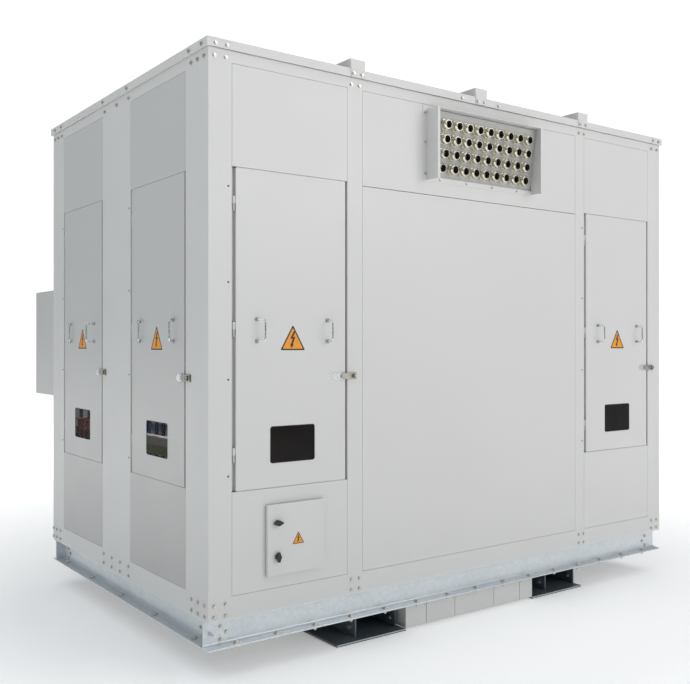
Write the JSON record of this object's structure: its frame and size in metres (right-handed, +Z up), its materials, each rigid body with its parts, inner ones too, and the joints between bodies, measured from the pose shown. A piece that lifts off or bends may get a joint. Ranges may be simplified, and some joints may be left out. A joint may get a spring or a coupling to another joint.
{
  "type": "metal-enclosed dry-type transformer",
  "caption": "Grey metal-enclosed dry-type transformer on a channel base, with hinged windowed doors, a hooded cable-gland plate, a control box and coils inside.",
  "frame": {"origin": "on the ground, at the middle of the four anchor holes in the feet", "axes": "+Z up, +X along the cabinet to the right as seen from the front, the front with the cable glands faces -Y"},
  "size_m": [3.269, 2.4755, 2.792],
  "materials": {
    "grey_paint": "semi-gloss light grey powder coat",
    "galvanised": "hot-dip galvanised",
    "galvanised_dark": "hot-dip galvanised, weathered",
    "zinc_bolts": "zinc plated",
    "nickel_brass": "nickel-plated brass",
    "nickel_steel": "nickel plated",
    "chrome": "polished",
    "glass": "dark polycarbonate pane",
    "black_plastic": "moulded",
    "fan_black": "satin black",
    "core_steel": "laminated silicon steel, varnished",
    "coil_resin": "cast epoxy resin",
    "red_resin": "cast epoxy resin",
    "copper": "bare copper bar"
  },
  "bodies": {
    "cabinet": {"base_channels": "galvanised", "feet": "galvanised_dark", "under_floor_duct": "grey_paint", "floor_plate": "galvanised", "posts": "grey_paint", "frame_rails": "grey_paint", "front_panels": "grey_paint", "left_panels": "grey_paint", "right_panels": "grey_paint", "rear_panels": "grey_paint", "roof_panel": "grey_paint", "roof_beams": "grey_paint", "gland_hood": "grey_paint", "gland_plate": "grey_paint", "cable_glands": "nickel_brass", "frame_bolts": "zinc_bolts", "hinge_strips": "grey_paint", "hasp_staples": "nickel_steel", "control_box": "grey_paint", "junction_box": "grey_paint", "core": "core_steel", "core_frame": "grey_paint", "lv_windings": "coil_resin", "hv_windings": "coil_resin", "resin_supports": "red_resin", "terminal_frame": "grey_paint", "busbars": "copper", "fan_housings": "fan_black"},
    "front_left_leaf": {"front_left_door": "grey_paint", "front_left_window": "glass", "front_left_fittings": "chrome"},
    "front_left_bail_left": {"front_left_handle_left": "chrome"},
    "front_left_bail_right": {"front_left_handle_right": "chrome"},
    "front_left_strap": {"front_left_hasp": "nickel_steel"},
    "front_right_leaf": {"front_right_door": "grey_paint", "front_right_window": "glass", "front_right_fittings": "chrome"},
    "front_right_bail_left": {"front_right_handle_left": "chrome"},
    "front_right_bail_right": {"front_right_handle_right": "chrome"},
    "front_right_strap": {"front_right_hasp": "nickel_steel"},
    "side_rear_leaf": {"side_rear_door": "grey_paint", "side_rear_window": "glass", "side_rear_fittings": "chrome"},
    "side_rear_bail_left": {"side_rear_handle_left": "chrome"},
    "side_rear_bail_right": {"side_rear_handle_right": "chrome"},
    "side_rear_strap": {"side_rear_hasp": "nickel_steel"},
    "side_front_leaf": {"side_front_door": "grey_paint", "side_front_window": "glass", "side_front_fittings": "chrome"},
    "side_front_bail_left": {"side_front_handle_left": "chrome"},
    "side_front_bail_right": {"side_front_handle_right": "chrome"},
    "side_front_strap": {"side_front_hasp": "nickel_steel"},
    "control_leaf": {"control_door": "grey_paint"},
    "junction_leaf": {"junction_door": "grey_paint"},
    "control_knob_upper_turn": {"control_knob_upper": "black_plastic"},
    "control_knob_lower_turn": {"control_knob_lower": "black_plastic"},
    "junction_knob_upper_turn": {"junction_knob_upper": "black_plastic"},
    "junction_knob_lower_turn": {"junction_knob_lower": "black_plastic"},
    "fan_left": {"fan_impeller_left": "fan_black"},
    "fan_right": {"fan_impeller_right": "fan_black"}
  },
  "joints": [
    {"name": "front_left_door_hinge", "type": "hinge", "parent": "cabinet", "child": "front_left_leaf", "pos_m": [-1.476, -1.004, 1.508], "axis": [0, 0, 1], "range_deg": [-110, 0]},
    {"name": "front_left_bail_left_pivot", "type": "hinge", "parent": "front_left_leaf", "child": "front_left_bail_left", "pos_m": [-1.363, -1.02, 1.505], "axis": [0, 0, 1], "range_deg": [-116, 44]},
    {"name": "front_left_bail_right_pivot", "type": "hinge", "parent": "front_left_leaf", "child": "front_left_bail_right", "pos_m": [-0.985, -1.02, 1.505], "axis": [0, 0, 1], "range_deg": [-79, 81]},
    {"name": "front_left_hasp_pivot", "type": "hinge", "parent": "front_left_leaf", "child": "front_left_strap", "pos_m": [-0.905, -1.015, 1.294], "axis": [0, 0, 1], "range_deg": [-150, 0]},
    {"name": "front_right_door_hinge", "type": "hinge", "parent": "cabinet", "child": "front_right_leaf", "pos_m": [0.87, -1.004, 1.508], "axis": [0, 0, 1], "range_deg": [-110, 0]},
    {"name": "front_right_bail_left_pivot", "type": "hinge", "parent": "front_right_leaf", "child": "front_right_bail_left", "pos_m": [0.983, -1.02, 1.505], "axis": [0, 0, 1], "range_deg": [-94, 66]},
    {"name": "front_right_bail_right_pivot", "type": "hinge", "parent": "front_right_leaf", "child": "front_right_bail_right", "pos_m": [1.361, -1.02, 1.505], "axis": [0, 0, 1], "range_deg": [-74, 86]},
    {"name": "front_right_hasp_pivot", "type": "hinge", "parent": "front_right_leaf", "child": "front_right_strap", "pos_m": [1.441, -1.015, 1.294], "axis": [0, 0, 1], "range_deg": [-150, 0]},
    {"name": "side_rear_door_hinge", "type": "hinge", "parent": "cabinet", "child": "side_rear_leaf", "pos_m": [-1.594, 0.809, 1.508], "axis": [0, 0, 1], "range_deg": [-110, 0]},
    {"name": "side_rear_bail_left_pivot", "type": "hinge", "parent": "side_rear_leaf", "child": "side_rear_bail_left", "pos_m": [-1.61, 0.696, 1.505], "axis": [0, 0, 1], "range_deg": [-153, 7]},
    {"name": "side_rear_bail_right_pivot", "type": "hinge", "parent": "side_rear_leaf", "child": "side_rear_bail_right", "pos_m": [-1.61, 0.318, 1.505], "axis": [0, 0, 1], "range_deg": [-78, 82]},
    {"name": "side_rear_hasp_pivot", "type": "hinge", "parent": "side_rear_leaf", "child": "side_rear_strap", "pos_m": [-1.605, 0.238, 1.294], "axis": [0, 0, 1], "range_deg": [-150, 0]},
    {"name": "side_front_door_hinge", "type": "hinge", "parent": "cabinet", "child": "side_front_leaf", "pos_m": [-1.594, -0.187, 1.508], "axis": [0, 0, 1], "range_deg": [-110, 0]},
    {"name": "side_front_bail_left_pivot", "type": "hinge", "parent": "side_front_leaf", "child": "side_front_bail_left", "pos_m": [-1.61, -0.3, 1.505], "axis": [0, 0, 1], "range_deg": [-147, 13]},
    {"name": "side_front_bail_right_pivot", "type": "hinge", "parent": "side_front_leaf", "child": "side_front_bail_right", "pos_m": [-1.61, -0.678, 1.505], "axis": [0, 0, 1], "range_deg": [-125, 35]},
    {"name": "side_front_hasp_pivot", "type": "hinge", "parent": "side_front_leaf", "child": "side_front_strap", "pos_m": [-1.605, -0.758, 1.294], "axis": [0, 0, 1], "range_deg": [-150, 0]},
    {"name": "control_door_hinge", "type": "hinge", "parent": "cabinet", "child": "control_leaf", "pos_m": [-1.009, -1.02, 0.573], "axis": [0, 0, 1], "range_deg": [0, 110]},
    {"name": "junction_door_hinge", "type": "hinge", "parent": "cabinet", "child": "junction_leaf", "pos_m": [-1.095, 1.353, 1.433], "axis": [0, 0, 1], "range_deg": [-110, 0]},
    {"name": "control_knob_upper_spindle", "type": "hinge", "parent": "control_leaf", "child": "control_knob_upper_turn", "pos_m": [-1.268, -1.0285, 0.651], "axis": [0, 1, 0], "range_deg": [0, 90]},
    {"name": "control_knob_lower_spindle", "type": "hinge", "parent": "control_leaf", "child": "control_knob_lower_turn", "pos_m": [-1.268, -1.0285, 0.5], "axis": [0, 1, 0], "range_deg": [-90, 0]},
    {"name": "junction_knob_upper_spindle", "type": "hinge", "parent": "junction_leaf", "child": "junction_knob_upper_turn", "pos_m": [-1.556, 1.3615, 1.691], "axis": [0, -1, 0], "range_deg": [0, 90]},
    {"name": "junction_knob_lower_spindle", "type": "hinge", "parent": "junction_leaf", "child": "junction_knob_lower_turn", "pos_m": [-1.556, 1.3615, 1.223], "axis": [0, -1, 0], "range_deg": [-90, 0]},
    {"name": "fan_left_spin", "type": "hinge", "parent": "cabinet", "child": "fan_left", "pos_m": [-0.233, 0, 0.323], "axis": [0, 0, 1], "continuous": true},
    {"name": "fan_right_spin", "type": "hinge", "parent": "cabinet", "child": "fan_right", "pos_m": [0.233, 0, 0.323], "axis": [0, 0, 1], "continuous": true}
  ]
}
